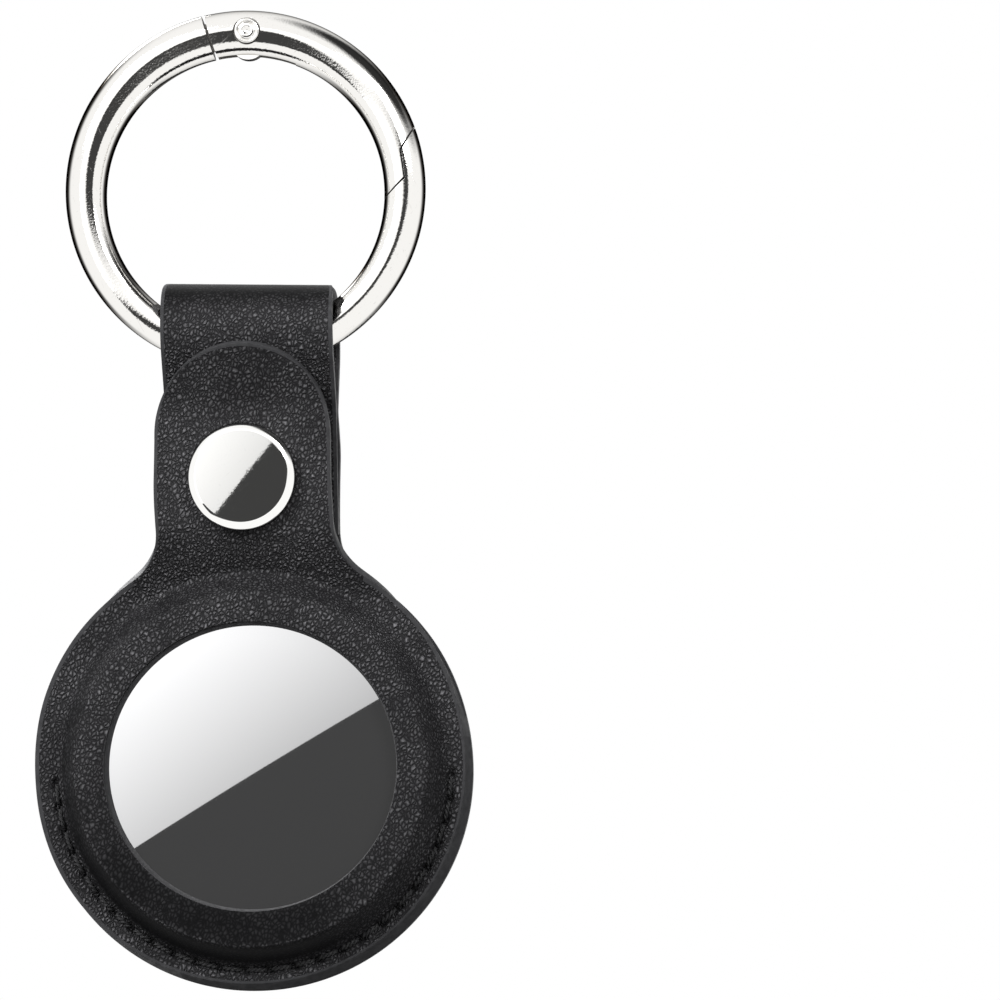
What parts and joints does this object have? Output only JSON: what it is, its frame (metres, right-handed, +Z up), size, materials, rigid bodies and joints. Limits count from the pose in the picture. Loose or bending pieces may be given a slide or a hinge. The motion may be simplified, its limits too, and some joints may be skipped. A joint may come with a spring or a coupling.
{
  "type": "tracker tag holder",
  "caption": "Leather key holder: a stitched round pocket with a window holds a coin-shaped tracker tag, and a snap tab closes over a strap loop on a sprung gate ring.",
  "frame": {"origin": "centre of the carrying ring, by which the holder hangs", "axes": "+Z up along the hanging holder, +X to the right seen from the front, front towards -Y"},
  "size_m": [0.0424, 0.012, 0.0956],
  "materials": {
    "leather_black": "fine pebble grain, satin",
    "thread_black": "twisted polyester thread",
    "nickel": "bright nickel plate",
    "snap_steel": "plated pressed steel",
    "spring_steel": "drawn spring wire",
    "mirror_steel": "mirror polished stainless steel",
    "white_plastic": "glossy moulded plastic",
    "dark_plastic": "moulded plastic",
    "seal_rubber": "soft seal",
    "cell_steel": "plated cell steel",
    "contact_brass": "gold flashed spring brass",
    "board_green": "solder mask",
    "magnet_steel": "nickel plated magnet"
  },
  "bodies": {
    "ring": {"ring_body": "nickel", "gate_spring": "spring_steel"},
    "gate": {"ring_gate": "nickel", "gate_pivot_pin": "nickel"},
    "holder": {"back_panel": "leather_black", "front_panel": "leather_black", "needle_thread": "thread_black", "bobbin_thread": "thread_black", "snap_stud": "snap_steel", "back_snap_cap": "nickel", "back_snap_rivet": "snap_steel"},
    "flap": {"front_flap": "leather_black", "front_snap_cap": "nickel", "front_snap_rivet": "snap_steel", "snap_socket": "snap_steel", "socket_spring": "spring_steel"},
    "tag": {"tag_housing": "white_plastic", "cover_gasket": "seal_rubber", "coin_cell_can": "cell_steel", "coin_cell_gasket": "seal_rubber", "coin_cell_cap": "cell_steel", "battery_tray": "dark_plastic", "positive_contacts": "contact_brass", "negative_contact": "contact_brass", "circuit_board": "board_green", "board_chips": "dark_plastic", "antenna_ring": "dark_plastic", "speaker_magnet": "magnet_steel", "voice_coil": "contact_brass"},
    "cover": {"tag_cover": "mirror_steel"}
  },
  "joints": [
    {"name": "gate_open", "type": "hinge", "parent": "ring", "child": "gate", "pos_m": [0.00057, 0, 0.01536], "axis": [0, 1, 0], "range_deg": [0, 30], "stiffness_Nm_per_rad": 0.004, "springref_deg": -22.92, "deforming": ["gate_spring"]},
    {"name": "holder_swing", "type": "hinge", "parent": "ring", "child": "holder", "pos_m": [0, 0, -0.01433], "axis": [1, 0, 0], "range_deg": [-150, 150]},
    {"name": "flap_open", "type": "hinge", "parent": "holder", "child": "flap", "pos_m": [0, -0.00475, -0.0568], "axis": [1, 0, 0], "range_deg": [0, 35], "stiffness_Nm_per_rad": 0.002, "deforming": ["socket_spring"]},
    {"name": "tag_spin", "type": "hinge", "parent": "holder", "child": "tag", "pos_m": [0, 0, -0.0568], "axis": [0, 1, 0], "continuous": true},
    {"name": "cover_twist", "type": "hinge", "parent": "tag", "child": "cover", "pos_m": [0, 0, -0.0568], "axis": [0, -1, 0], "range_deg": [0, 25]}
  ]
}
